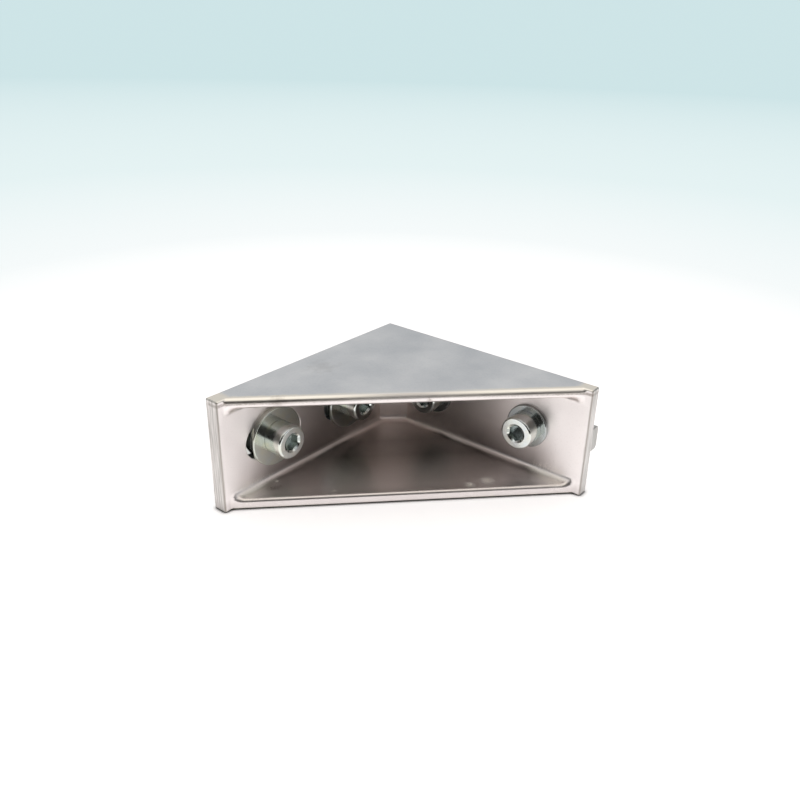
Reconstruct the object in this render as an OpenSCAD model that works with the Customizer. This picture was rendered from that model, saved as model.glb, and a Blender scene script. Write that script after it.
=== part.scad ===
// Cast aluminium corner bracket for slotted profiles, with its screws, washers and slot nuts.
// The outer corner of the two mounting faces is the Z axis, and the bracket lies on one side wall.

/* [Bracket] */
// Length of each leg, from the outer corner
leg_length = 100; // [95:1:140]
// Width of the bracket across the legs
bracket_width = 45; // [40:1:60]
// Thickness of the leg with the long slots
slot_leg_thickness = 6; // [5:0.1:8]
// Thickness of the leg with the locating lug
lug_leg_thickness = 5; // [4:0.1:8]
// Thickness of the two triangular side walls
side_wall = 4; // [3:0.1:6]
// How far the side walls stop short of the leg ends
front_setback = 3; // [2:0.1:6]
// Where the face of the inner corner's web would meet each mounting face
corner_web = 19.5; // [16:0.1:22]

/* [Cast edges] */
// Fillet between the side walls and the legs, inside
inner_fillet = 3; // [1.5:0.1:5]
// Round on the outer front edge of each side wall
front_round = 1.8; // [0.5:0.1:2.4]
// Round on the inner front edge of each side wall
lip_round = 1; // [0.4:0.1:1.4]
// Round on the outer edges of the leg ends
end_round = 0.6; // [0.3:0.1:2]
// Round on the inner edge of the leg ends
tip_round = 0.7; // [0.3:0.1:1]
// Round on the long outer edges and the outer corner
edge_round = 0.8; // [0.3:0.1:1.5]

/* [Holes] */
// Distance of the outer screws from the leg ends
outer_screw_from_end = 25; // [23:0.5:28]
// Distance of the inner screw in the slotted leg from the outer corner
slot_inner_screw_at = 34.5; // [32:0.5:40]
// Distance of the inner screw in the lugged leg from the outer corner
lug_inner_screw_at = 29.5; // [27:0.5:36]
// Width of a slot
slot_width = 14.7; // [12:0.1:16]
// Length of a slot, end to end
slot_length = 27; // [22:0.5:30]
// Diameter of a round screw hole
round_hole_d = 9; // [8.4:0.1:10]

/* [Locating lug] */
// Width of the lug, across the leg
lug_width = 9.8; // [7:0.1:9.9]
// Length of the lug, back from the leg end
lug_length = 12; // [8:0.5:15]
// Height of the lug above the mounting face
lug_height = 4.4; // [2:0.1:6]
// Chamfer on the lug's outer edges
lug_chamfer = 1.5; // [0.3:0.1:2]

/* [Screws] */
// Thread diameter
screw_d = 8; // [6:1:8]
// Length under the head
screw_length = 16; // [15:1:25]
// Head diameter
head_d = 13; // [12:0.5:14]
// Head height
head_height = 8; // [6:0.5:9]
// Round on the rim of the head
head_round = 0.8; // [0.3:0.1:1.2]
// Hexagon socket, across flats
socket_flats = 6; // [5:0.5:7]
// Depth of the socket
socket_depth = 4; // [3:0.5:5]
// Chamfer at the thread's end
screw_chamfer = 1; // [0.5:0.1:1.5]

/* [Washers] */
// Diameter of the wide washers over the slots
wide_washer_d = 23.5; // [20:0.5:24]
// Thickness of the wide washers
wide_washer_t = 2; // [1.5:0.1:2.5]
// Diameter of the washers over the round holes
plain_washer_d = 17.5; // [16:0.5:20]
// Thickness of the washers over the round holes
plain_washer_t = 1.6; // [1.2:0.1:2.5]
// Edge break on the washers
washer_chamfer = 0.3; // [0.1:0.1:0.5]

/* [Slot nuts] */
// Length of a nut
nut_length = 19.5; // [17:0.5:22]
// Width of a nut
nut_width = 10; // [9:0.1:11]
// Thickness of a nut's body
nut_body_t = 5; // [4:0.1:6]
// Height of a nut's collar
nut_collar_t = 3; // [2:0.1:4]
// Width of a nut's collar
nut_collar_w = 9.6; // [9:0.1:10]
// Turn of a nut out of the leg's direction, in degrees
nut_turn = 30; // [0:5:90]

/* [Clearances] */
// Washer hole over the thread, on the diameter
washer_clearance = 0.4; // [0.2:0.1:1]
// Nut thread over the screw, on the diameter
thread_clearance = 0.1; // [0.04:0.02:0.2]

/* [Hidden] */
$fn = 64;

// Room that a cutting shape takes beyond the face it cuts
beyond = 2;
mid_width = bracket_width / 2;
cavity_height = bracket_width - 2 * side_wall;
// Distance of the outer screws from the outer corner
outer_screw_at = leg_length - outer_screw_from_end;
// Where the front edge of the side walls meets the inner face of each leg
slot_leg_front = [leg_length - front_setback, slot_leg_thickness];
lug_leg_front = [lug_leg_thickness, leg_length - front_setback];
front_run = lug_leg_front - slot_leg_front;
front_angle = atan2(front_run.y, front_run.x);
front_length = norm(front_run);
// Length of the front edge that the fillets take up beside each leg
lip_inset = 1.5 * inner_fillet;
// Where the corner web meets the inner face of each leg
web_on_slot_leg = [corner_web - slot_leg_thickness, slot_leg_thickness];
web_on_lug_leg = [lug_leg_thickness, corner_web - lug_leg_thickness];
socket_d = socket_flats / cos(30);
// Depth of the countersink at the socket's mouth
socket_mouth = 0.4;
// Flat left beside the round corners of a nut
nut_flat = 0.5;
cast_colour = [0.74, 0.72, 0.71];
zinc_colour = [0.62, 0.66, 0.66];

// Places its children on the inner face of the slotted leg: X runs along the leg, Z into the bracket.
module on_slot_leg(at) {
    translate([at, slot_leg_thickness, mid_width]) rotate([-90, 0, 0]) children();
}

// Places its children on the inner face of the lugged leg in the same way.
module on_lug_leg(at) {
    translate([lug_leg_thickness, at, mid_width]) rotate([90, 0, 90]) children();
}

// Repeats its children on both sides of the bracket's mid plane.
module both_sides() {
    children();
    translate([0, 0, bracket_width]) mirror([0, 0, 1]) children();
}

// What a round takes off an edge along Z whose material lies towards +X and +Y.
module edge_cut(radius, length) {
    linear_extrude(length) difference() {
        translate([-beyond, -beyond]) square(radius + beyond);
        translate([radius, radius]) circle(radius);
    }
}

// The same cut on an edge along X whose material lies towards +Y and +Z.
module long_edge_cut(radius, length) {
    rotate([90, 0, 90]) edge_cut(radius, length);
}

// Outline of the bracket seen along its width, with the leg ends standing past the front edge.
module plan() {
    polygon([
        [0, 0], [leg_length, 0], [leg_length, slot_leg_thickness], slot_leg_front,
        lug_leg_front, [lug_leg_thickness, leg_length], [0, leg_length]
    ]);
}

// Cross-section of the space between the side walls, starting at a wall along the Y axis.
module cavity_section() {
    depth = 2 * leg_length;
    translate([0, inner_fillet]) square([depth, cavity_height - 2 * inner_fillet]);
    translate([inner_fillet, 0]) square([depth - inner_fillet, cavity_height]);
    for (y = [inner_fillet, cavity_height - inner_fillet])
        translate([inner_fillet, y]) circle(inner_fillet);
}

// Space to the left of one wall, which runs through a point in the direction of an angle.
module cavity_beside(point, angle) {
    run = 2 * leg_length;
    translate([point.x, point.y, side_wall]) rotate([0, 0, angle]) rotate([90, 0, 90])
        translate([0, 0, -run]) linear_extrude(2 * run) cavity_section();
}

// Space between the side walls, the legs and the corner web, open at the front.
module cavity() {
    intersection() {
        cavity_beside(web_on_slot_leg, 0);
        cavity_beside(web_on_lug_leg, -90);
        cavity_beside(web_on_lug_leg, -45);
    }
}

// Rounds on the outer edges of the leg along X, with the edges of its free end.
module leg_edge_cuts(thickness) {
    both_sides() {
        translate([-beyond, 0, 0]) long_edge_cut(edge_round, leg_length + 2 * beyond);
        translate([leg_length, thickness + beyond, 0]) rotate([0, 0, 180]) mirror([1, -1, 0])
            mirror([1, 0, 0]) long_edge_cut(end_round, thickness + 2 * beyond);
    }
    translate([leg_length, 0, -beyond]) mirror([1, 0, 0])
        edge_cut(end_round, bracket_width + 2 * beyond);
    translate([leg_length, thickness, -beyond]) rotate([0, 0, 180])
        edge_cut(tip_round, bracket_width + 2 * beyond);
}

// Rounds on the front edges of the side walls, from leg to leg.
module front_edge_cuts() {
    translate([slot_leg_front.x, slot_leg_front.y, 0]) rotate([0, 0, front_angle]) both_sides() {
        long_edge_cut(front_round, front_length);
        translate([lip_inset, 0, side_wall]) mirror([0, 0, 1])
            long_edge_cut(lip_round, front_length - 2 * lip_inset);
    }
}

// Slot through the slotted leg, along it.
module slot_cut() {
    reach = (slot_length - slot_width) / 2;
    translate([0, 0, -slot_leg_thickness - beyond]) linear_extrude(slot_leg_thickness + 2 * beyond) {
        square([2 * reach, slot_width], center = true);
        for (side = [-1, 1])
            translate([side * reach, 0]) circle(d = slot_width);
    }
}

// Round hole through the lugged leg.
module round_cut() {
    translate([0, 0, -lug_leg_thickness - beyond])
        cylinder(d = round_hole_d, h = lug_leg_thickness + 2 * beyond);
}

// Lug at the end of its leg, which keeps the bracket straight in a profile's groove.
module lug() {
    half = lug_width / 2;
    root = lug_leg_thickness / 2;
    translate([0, leg_length, mid_width]) rotate([90, 0, 0]) linear_extrude(lug_length) polygon([
        [root, -half], [lug_chamfer - lug_height, -half], [-lug_height, lug_chamfer - half],
        [-lug_height, half - lug_chamfer], [lug_chamfer - lug_height, half], [root, half]
    ]);
}

// The casting: two legs, two triangular side walls, the corner web and the lug.
module bracket_body() {
    color(cast_colour) {
        difference() {
            linear_extrude(bracket_width) plan();
            cavity();
            leg_edge_cuts(slot_leg_thickness);
            mirror([1, -1, 0]) leg_edge_cuts(lug_leg_thickness);
            translate([0, 0, -beyond]) edge_cut(edge_round, bracket_width + 2 * beyond);
            front_edge_cuts();
            for (at = [outer_screw_at, slot_inner_screw_at])
                on_slot_leg(at) slot_cut();
            for (at = [outer_screw_at, lug_inner_screw_at])
                on_lug_leg(at) round_cut();
        }
        lug();
    }
}

// Socket head screw, with its head resting at a height above the leg.
module screw(head_base) {
    color(zinc_colour) translate([0, 0, head_base]) difference() {
        union() {
            rotate_extrude() {
                square([head_d / 2, head_height - head_round]);
                square([head_d / 2 - head_round, head_height]);
                translate([head_d / 2 - head_round, head_height - head_round]) circle(head_round);
            }
            translate([0, 0, screw_chamfer - screw_length])
                cylinder(d = screw_d, h = screw_length - screw_chamfer);
            translate([0, 0, -screw_length])
                cylinder(d1 = screw_d - 2 * screw_chamfer, d2 = screw_d, h = screw_chamfer);
        }
        translate([0, 0, head_height - socket_depth])
            cylinder(d = socket_d, h = socket_depth + beyond, $fn = 6);
        translate([0, 0, head_height - socket_mouth])
            cylinder(d1 = socket_flats, d2 = socket_flats + 4 * socket_mouth, h = 2 * socket_mouth);
    }
}

// Flat washer lying on the leg, with its edges broken.
module washer(diameter, thickness) {
    color(zinc_colour) difference() {
        union() {
            cylinder(d = diameter, h = thickness - washer_chamfer);
            translate([0, 0, thickness - washer_chamfer])
                cylinder(d1 = diameter, d2 = diameter - 2 * washer_chamfer, h = washer_chamfer);
        }
        translate([0, 0, -beyond])
            cylinder(d = screw_d + washer_clearance, h = thickness + 2 * beyond);
    }
}

// Block with two opposite corners turned round, so that it can swing in a groove.
module swing_block(width, length, height) {
    radius = width / 2 - nut_flat;
    translate([-width / 2, -length / 2, 0]) difference() {
        cube([width, length, height]);
        translate([0, 0, -beyond]) edge_cut(radius, height + 2 * beyond);
        translate([width, length, -beyond]) rotate([0, 0, 180])
            edge_cut(radius, height + 2 * beyond);
    }
}

// Slot nut behind the leg, with the top of its body at a height and its collar above that.
module slot_nut(body_top) {
    color(zinc_colour) translate([0, 0, body_top]) rotate([0, 0, 90 + nut_turn]) difference() {
        union() {
            translate([0, 0, -nut_body_t]) swing_block(nut_width, nut_length, nut_body_t);
            swing_block(nut_collar_w, nut_collar_w, nut_collar_t);
        }
        translate([0, 0, -nut_body_t - beyond])
            cylinder(d = screw_d + thread_clearance, h = nut_body_t + nut_collar_t + 2 * beyond);
    }
}

bracket_body();
on_slot_leg(outer_screw_at) screw(wide_washer_t);  // slot_leg_outer_screw
on_slot_leg(slot_inner_screw_at) screw(wide_washer_t);  // slot_leg_inner_screw
on_lug_leg(outer_screw_at) screw(plain_washer_t);  // lug_leg_outer_screw
on_lug_leg(lug_inner_screw_at) screw(plain_washer_t);  // lug_leg_inner_screw
on_slot_leg(outer_screw_at) washer(wide_washer_d, wide_washer_t);  // slot_leg_outer_washer
on_slot_leg(slot_inner_screw_at) washer(wide_washer_d, wide_washer_t);  // slot_leg_inner_washer
on_lug_leg(outer_screw_at) washer(plain_washer_d, plain_washer_t);  // lug_leg_outer_washer
on_lug_leg(lug_inner_screw_at) washer(plain_washer_d, plain_washer_t);  // lug_leg_inner_washer
on_slot_leg(outer_screw_at) slot_nut(-slot_leg_thickness);  // slot_leg_outer_nut
on_slot_leg(slot_inner_screw_at) slot_nut(-slot_leg_thickness);  // slot_leg_inner_nut
on_lug_leg(outer_screw_at) slot_nut(-lug_leg_thickness - nut_collar_t);  // lug_leg_outer_nut
on_lug_leg(lug_inner_screw_at) slot_nut(-lug_leg_thickness - nut_collar_t);  // lug_leg_inner_nut
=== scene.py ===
import math
from types import SimpleNamespace

import bmesh
import bpy
from mathutils import Matrix, Vector


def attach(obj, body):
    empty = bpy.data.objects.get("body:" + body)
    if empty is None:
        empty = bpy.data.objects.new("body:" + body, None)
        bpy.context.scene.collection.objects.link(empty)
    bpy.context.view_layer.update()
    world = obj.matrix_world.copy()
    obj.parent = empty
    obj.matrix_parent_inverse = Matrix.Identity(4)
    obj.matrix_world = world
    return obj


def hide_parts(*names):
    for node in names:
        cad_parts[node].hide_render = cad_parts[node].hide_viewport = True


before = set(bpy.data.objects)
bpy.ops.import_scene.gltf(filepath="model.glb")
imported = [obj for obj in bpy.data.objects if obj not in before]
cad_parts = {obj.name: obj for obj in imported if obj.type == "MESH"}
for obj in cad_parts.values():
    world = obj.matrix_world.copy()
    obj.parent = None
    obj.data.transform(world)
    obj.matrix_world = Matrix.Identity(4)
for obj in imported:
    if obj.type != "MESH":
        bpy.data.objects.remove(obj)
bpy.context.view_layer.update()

# Sizes of the part in millimetres, the same as in its source
MILLIMETRE = 0.001
LEG_LENGTH = 100.0
BRACKET_WIDTH = 45.0
SLOT_LEG_THICKNESS = 6.0
LUG_LEG_THICKNESS = 5.0
SIDE_WALL = 4.0
FRONT_SETBACK = 3.0
CORNER_WEB = 19.5
INNER_FILLET = 3.0
OUTER_SCREW_AT = 75.0
SLOT_INNER_SCREW_AT = 34.5
LUG_INNER_SCREW_AT = 29.5
SLOT_WIDTH = 14.7
SLOT_LENGTH = 27.0
ROUND_HOLE_D = 9.0
LUG_WIDTH = 9.8
LUG_LENGTH = 12.0
LUG_HEIGHT = 4.4
SCREW_D = 8.0
SCREW_LENGTH = 16.0
HEAD_D = 13.0
HEAD_HEIGHT = 8.0
SOCKET_FLATS = 6.0
SOCKET_DEPTH = 4.0
WIDE_WASHER = (23.5, 2.0)
PLAIN_WASHER = (17.5, 1.6)
WASHER_HOLE_D = 8.4
NUT_LENGTH = 19.5
NUT_WIDTH = 10.0
NUT_BODY_T = 5.0
NUT_COLLAR_T = 3.0
NUT_COLLAR_W = 9.6
NUT_HOLE_D = 8.1
NUT_FLAT = 0.5
NUT_TURN = 30.0

# Rounds of the casting as the looks have them, those of its outer edges as shares of the widest
WIDEST_ROUND = 1.8
UPPER_FRONT_SHARE = 1.0
LOWER_FRONT_SHARE = 0.5
LEG_END_SHARE = 0.37
PLAIN_EDGE_SHARE = 0.28
OUTER_CORNER_SHARE = 0.9
FRONT_CORNER_SHARE = 0.45
UPPER_LIP_ROUND = 1.9
LOWER_LIP_ROUND = 1.5
HOLE_EDGE_ROUND = 0.4
LUG_ROUND = 1.5
LUG_END_ROUND = 0.3

# Small shapes of the screws, washers and nuts
THREAD_PITCH = 1.25
THREAD_DEPTH = 0.7
THREAD_CLEARANCE = 0.05
SPARE_TURNS = 2
HEAD_TOP_ROUND = 0.8
HEAD_FOOT_ROUND = 0.3
SHANK_IN_HEAD = 0.5
TIP_CHAMFER = 0.9
DRILL_POINT = 1.2
DRILL_INSET = 0.1
SINK_DEPTH = 0.8
SINK_RISE = 0.2
SINK_INSET = 0.2
SINK_SPREAD = 1.2
WASHER_UPPER_ROUND = 0.45
WASHER_LOWER_ROUND = 0.12
NUT_ROUND = 0.4
NUT_HOLE_CHAMFER = 0.5
COLLAR_ROOT = 1.0

# Facets of round shapes, and steps of rounds
ROUND_SIDES = 64
FINE_SIDES = 96
THREAD_STEPS = 32
CHAMFER_STEPS = 1
SHARP_STEPS = 2
SMALL_STEPS = 3
SOFT_STEPS = 5
OUTER_STEPS = 6
FILLET_STEPS = 8
NUT_CORNER_STEPS = 10
SLOT_END_STEPS = 16
SMOOTH_ANGLE = math.radians(30)

# Values that follow from the sizes
MID_WIDTH = BRACKET_WIDTH / 2
SLOT_LEG_FRONT = Vector((LEG_LENGTH - FRONT_SETBACK, SLOT_LEG_THICKNESS, 0))
LUG_LEG_FRONT = Vector((LUG_LEG_THICKNESS, LEG_LENGTH - FRONT_SETBACK, 0))
FRONT_RUN = (LUG_LEG_FRONT - SLOT_LEG_FRONT).normalized()
FRONT_NORMAL = Vector((FRONT_RUN.y, -FRONT_RUN.x, 0))
FRONT_AT = SLOT_LEG_FRONT.dot(FRONT_NORMAL)

# How far tools reach past what they cut, and how close counts as the same place or direction
BEYOND = 2.0
FAR = 2 * LEG_LENGTH
NEAR = 0.02
MERGE = 0.001
ROUND_SLACK = 0.05
LEVEL = 0.01
ALIGNED = 0.99
ALONG_FRONT = 0.999


# Handling of pieces in object and edit mode

def deselect_everything():
    """Leaves no object selected."""
    for thing in bpy.context.selected_objects:
        thing.select_set(False)


def take_in_hand(piece):
    """Makes one piece the active one and the only one selected."""
    deselect_everything()
    piece.select_set(True)
    bpy.context.view_layer.objects.active = piece


def named(name):
    """Names the primitive that was just added."""
    piece = bpy.context.active_object
    piece.name = name
    piece.data.name = name
    return piece


def open_mesh(piece, mode):
    """Goes into edit mode with nothing selected."""
    take_in_hand(piece)
    bpy.ops.object.mode_set(mode="EDIT")
    bpy.ops.mesh.select_mode(type=mode)
    bpy.ops.mesh.select_all(action="DESELECT")
    return bmesh.from_edit_mesh(piece.data)


def close_mesh():
    """Goes back to object mode."""
    bpy.ops.object.mode_set(mode="OBJECT")


def pick_edges(piece, mesh, test):
    """Selects the edges for which the test holds."""
    for edge in mesh.edges:
        if test(edge):
            edge.select_set(True)
    bmesh.update_edit_mesh(piece.data)


def middle(edge):
    """Middle of an edge."""
    return (edge.verts[0].co + edge.verts[1].co) / 2


def direction(edge):
    """Direction of an edge."""
    return (edge.verts[1].co - edge.verts[0].co).normalized()


def is_upright(edge):
    """True for an edge along Z."""
    return abs(direction(edge).z) > ALIGNED


def is_level(edge):
    """True for an edge that doesn't rise."""
    return abs(direction(edge).z) < LEVEL


def turn_at(edge):
    """Angle between the two faces that meet at an edge."""
    return edge.link_faces[0].normal.angle(edge.link_faces[1].normal)


def prism(name, outline, bottom, top):
    """A flat shape with the given corners, drawn up from one height to another."""
    deselect_everything()
    bpy.ops.mesh.primitive_circle_add(vertices=len(outline), radius=1, fill_type="NGON")
    piece = named(name)
    mesh = open_mesh(piece, "VERT")
    mesh.verts.ensure_lookup_table()
    for vertex, corner in zip(mesh.verts, outline):
        vertex.co = (corner[0], corner[1], bottom)
    bmesh.update_edit_mesh(piece.data)
    bpy.ops.mesh.select_all(action="SELECT")
    bpy.ops.mesh.extrude_region_move(TRANSFORM_OT_translate={"value": (0, 0, top - bottom)})
    bpy.ops.mesh.select_all(action="SELECT")
    bpy.ops.mesh.normals_make_consistent(inside=False)
    close_mesh()
    return piece


def block(name, length, width, bottom, top):
    """A block with its middle on the Z axis, from one height to another."""
    x, y = length / 2, width / 2
    return prism(name, [(-x, -y), (x, -y), (x, y), (-x, y)], bottom, top)


def turned_bar(name, radius, bottom, top, sides=ROUND_SIDES):
    """A round bar along Z, from one height to another."""
    deselect_everything()
    bpy.ops.mesh.primitive_cylinder_add(vertices=sides, radius=radius, depth=top - bottom,
                                        location=(0, 0, (bottom + top) / 2))
    bpy.ops.object.transform_apply(location=True, rotation=False, scale=False)
    return named(name)


def turned_cone(name, low_radius, high_radius, bottom, top):
    """A cone along Z, from one height to another."""
    deselect_everything()
    bpy.ops.mesh.primitive_cone_add(vertices=ROUND_SIDES, radius1=low_radius, radius2=high_radius,
                                    depth=top - bottom, location=(0, 0, (bottom + top) / 2))
    bpy.ops.object.transform_apply(location=True, rotation=False, scale=False)
    return named(name)


def round_edges(piece, test, radius, steps):
    """Rounds the edges for which the test holds."""
    mesh = open_mesh(piece, "EDGE")
    pick_edges(piece, mesh, test)
    bpy.ops.mesh.bevel(offset_type="OFFSET", offset=radius, segments=steps, affect="EDGES",
                       clamp_overlap=False, loop_slide=True)
    close_mesh()


def combine(piece, tool, operation):
    """Cuts a tool out of a piece, joins it on or keeps what both share, and takes the tool away."""
    modifier = piece.modifiers.new("combine", "BOOLEAN")
    modifier.operation = operation
    modifier.solver = "EXACT"
    modifier.object = tool
    take_in_hand(piece)
    bpy.ops.object.modifier_apply(modifier=modifier.name)
    bpy.data.objects.remove(tool)
    open_mesh(piece, "VERT")
    bpy.ops.mesh.select_all(action="SELECT")
    bpy.ops.mesh.remove_doubles(threshold=MERGE)
    close_mesh()


def move_piece(piece, place):
    """Moves a piece's mesh by a matrix and leaves the object at the origin."""
    piece.matrix_world = place
    take_in_hand(piece)
    bpy.ops.object.transform_apply(location=True, rotation=True, scale=True)


def copy_of(piece, name):
    """A copy with a mesh of its own."""
    twin = piece.copy()
    twin.data = piece.data.copy()
    twin.name = name
    twin.data.name = name
    bpy.context.scene.collection.objects.link(twin)
    return twin


def on_slot_leg(at, height):
    """Where a piece's Z axis leaves the inner face of the slotted leg, at a height above it."""
    turn = Matrix(((1, 0, 0), (0, 0, 1), (0, -1, 0))).to_4x4()
    return Matrix.Translation((at, SLOT_LEG_THICKNESS + height, MID_WIDTH)) @ turn


def on_lug_leg(at, height):
    """Where a piece's Z axis leaves the inner face of the lugged leg, at a height above it."""
    turn = Matrix(((0, 0, 1), (1, 0, 0), (0, 1, 0))).to_4x4()
    return Matrix.Translation((LUG_LEG_THICKNESS + height, at, MID_WIDTH)) @ turn


def finish_piece(piece, node, material):
    """Brings a finished piece to metres, shades it, dresses it and lets it stand for its CAD node."""
    move_piece(piece, Matrix.Scale(MILLIMETRE, 4))
    take_in_hand(piece)
    bpy.ops.object.shade_smooth_by_angle(angle=SMOOTH_ANGLE)
    even = piece.modifiers.new("even shading", "WEIGHTED_NORMAL")
    even.keep_sharp = True
    even.weight = 100
    bpy.ops.object.modifier_apply(modifier=even.name)
    piece.data.materials.clear()
    piece.data.materials.append(material)
    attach(piece, "root")
    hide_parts(node)


# Shader nodes

RISING = (0.0, 1.0)
FALLING = (1.0, 0.0)
SPOT_RAGGED = 2.5
SPOT_FADE = (0.1, 1.2)


def add(tree, kind, inputs=None, **settings):
    """Adds a node, sets its properties and fills or links its inputs."""
    made = tree.nodes.new(kind)
    for name, value in settings.items():
        setattr(made, name, value)
    for socket, value in (inputs or {}).items():
        if isinstance(value, bpy.types.NodeSocket):
            tree.links.new(value, made.inputs[socket])
        else:
            made.inputs[socket].default_value = value
    return made


def new_material(name):
    """A material with an empty metal shader and the piece's own coordinates in millimetres."""
    material = bpy.data.materials.new(name)
    material.use_nodes = True
    tree = material.node_tree
    shader = tree.nodes["Principled BSDF"]
    shader.inputs["Metallic"].default_value = 1.0
    place = add(tree, "ShaderNodeTexCoord")
    scale = 1 / MILLIMETRE
    point = add(tree, "ShaderNodeMapping", {"Vector": place.outputs["Object"], "Scale": (scale,) * 3})
    return material, tree, shader, point.outputs["Vector"], place.outputs["Normal"]


def noise(tree, point, pattern, stretch=None):
    """Cloudy pattern of so many grains to the millimetre and so much detail, stretched if asked."""
    scale, detail = pattern
    if stretch:
        point = add(tree, "ShaderNodeMapping", {"Vector": point, "Scale": stretch}).outputs["Vector"]
    cloudy = add(tree, "ShaderNodeTexNoise", {"Vector": point, "Scale": scale, "Detail": detail})
    return cloudy.outputs["Fac"]


def ramp(tree, value, bounds, results=RISING):
    """Maps a value between two bounds to one between two results, clamped."""
    mapped = add(tree, "ShaderNodeMapRange", {
        "Value": value, "From Min": bounds[0], "From Max": bounds[1],
        "To Min": results[0], "To Max": results[1]})
    return mapped.outputs["Result"]


def mix_colour(tree, share, first, second):
    """Blends two colours."""
    mixed = add(tree, "ShaderNodeMix", data_type="RGBA")
    for number, value in ((0, share), (6, first), (7, second)):
        socket = mixed.inputs[number]
        if isinstance(value, bpy.types.NodeSocket):
            tree.links.new(value, socket)
        else:
            socket.default_value = value
    return mixed.outputs[2]


def mix_value(tree, share, first, second):
    """Blends two values."""
    mixed = add(tree, "ShaderNodeMix", {0: share, 2: first, 3: second}, data_type="FLOAT")
    return mixed.outputs[0]


def maths(tree, operation, first, second=0.0):
    """One sum of one or two values."""
    return add(tree, "ShaderNodeMath", {0: first, 1: second}, operation=operation).outputs[0]


def all_of(tree, *shares):
    """Product of several shares."""
    product = shares[0]
    for share in shares[1:]:
        product = maths(tree, "MULTIPLY", product, share)
    return product


def rest_of(tree, share):
    """What a share leaves of the whole."""
    return maths(tree, "SUBTRACT", 1.0, share)


def parts_of(tree, vector):
    """The X, Y and Z of a vector."""
    split = add(tree, "ShaderNodeSeparateXYZ", {"Vector": vector})
    return split.outputs["X"], split.outputs["Y"], split.outputs["Z"]


def distance_along(tree, point, way):
    """How far a point lies along a direction."""
    return add(tree, "ShaderNodeVectorMath", {0: point, 1: way}, operation="DOT_PRODUCT").outputs["Value"]


def span(tree, value, bounds, soft):
    """One between two bounds and nothing outside them, with soft ends."""
    low, high = bounds
    return all_of(tree, ramp(tree, value, (low, low + soft)), ramp(tree, value, (high - soft, high), FALLING))


def spot(tree, point, place, radius, ragged):
    """A ragged spot that fades out at a distance from a place on the casting."""
    reach = add(tree, "ShaderNodeVectorMath", {0: point, 1: place}, operation="DISTANCE").outputs["Value"]
    wander = maths(tree, "MULTIPLY", maths(tree, "SUBTRACT", ragged, 0.5), radius * SPOT_RAGGED)
    fade = [radius * share for share in SPOT_FADE]
    return ramp(tree, maths(tree, "ADD", reach, wander), fade, FALLING)


def wash(tree, colour, share, amount, coat):
    """Lays a coat of another colour over a colour, by a share of an amount."""
    return mix_colour(tree, maths(tree, "MULTIPLY", share, amount), colour, coat)


# Patterns of the finishes: grains to the millimetre, and detail
CLOUD = (0.06, 4)
MOTTLE = (0.35, 3)
GRAIN = (1.5, 4)
STREAKS = (1.6, 3)
STREAKS_UPRIGHT = (1, 1, 0.05)
ZINC_DRIFT = (0.25, 3)
ZINC_GRAIN = (2.5, 3)

# Bounds of a pattern's values between which a finish changes
CLEAR_BOUNDS = (0.35, 0.65)
WIDE_BOUNDS = (0.3, 0.7)
PIT_BOUNDS = (0.55, 0.75)
PATCH_BOUNDS = (0.5, 1.0)
STRIPE_BOUNDS = (0.36, 0.64)

# Places on the casting by the upward share of the surface's normal
TOP_TILT = (0.93, 0.99)
SMOOTH_TILT = (0.04, 0.2)
FILLET_TILT = (0.06, 0.985)
FILLET_SOFT = 0.1
BEAD_TILT = (0.5, 0.92)
BEAD_SOFT = 0.15
PLATE_TILT = (0.8, 0.95)
LEG_TILT = (0.3, 0.6)

# Places on the casting in millimetres: inward from the mouth, off the middle of the front, up and along
OUTER_SKIN = (MID_WIDTH - 2.2, MID_WIDTH - 1.8)
ROOF_HEIGHT = (MID_WIDTH, MID_WIDTH + 5)
WEB_EDGE = (CORNER_WEB + 1, CORNER_WEB + 4)
LIP_INWARD = (1.5, 3)
FOOT_HEIGHT = (2.5, 5)
FOOT_INWARD = (2, 4)
DIRT_AND_REFLECTION_HEIGHT = (BRACKET_WIDTH - 2.6, BRACKET_WIDTH - 1)
DIRT_AND_REFLECTION_SOFT = 0.5
DIRT_AND_REFLECTION_INWARD = (0.8, 1.6)
DIRT_AND_REFLECTION_OFF_MIDDLE = (15, 55)
SHADE_HEIGHT = (7, 18)
SHADE_STARTS = (6, 13)
SHADE_ENDS = (30, 45)
MOUNTING_DEPTH = (0.1, 0.3)
LEG_END = (LEG_LENGTH - 0.6, LEG_LENGTH - 0.3)
HOLE_WALL_INSET = 0.3
HOLE_WALL_SOFT = 0.5
SLOT_REACH = (7.4, 7.8)
SLOTS_FROM_TO = (15, 95)
HOLE_REACH = (4.6, 5)
HOLES_FROM_TO = (15, 85)
HOLES_SOFT = 1
TIP_SLANT = 1.4
TIP_WANDER = (-1, 1)
TIP_NEAREST = (LEG_LENGTH - 7, LEG_LENGTH - 5)
TIP_EDGE = (LEG_LENGTH - 2.5, LEG_LENGTH - 1.5)
STRIP_OFF_MIDDLE = (8, 40)
STRIP_SHARE = (0.25, 1)
STRIP_WANDER = (-0.4, 0.4)
STRIP_INWARD = (2.2, 3.0)
# Depths over which the painted light at the mouth gives way to the painted shade inside
MOUTH_LIGHT_INWARD = (6, 28)
DEEP_LEG_INWARD = (36, 50)
DEEP_FLOOR_INWARD = (40, 55)
BEAD_INWARD = (0, 60)
ROUNDS_OFF_MIDDLE = (5, 30)
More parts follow.
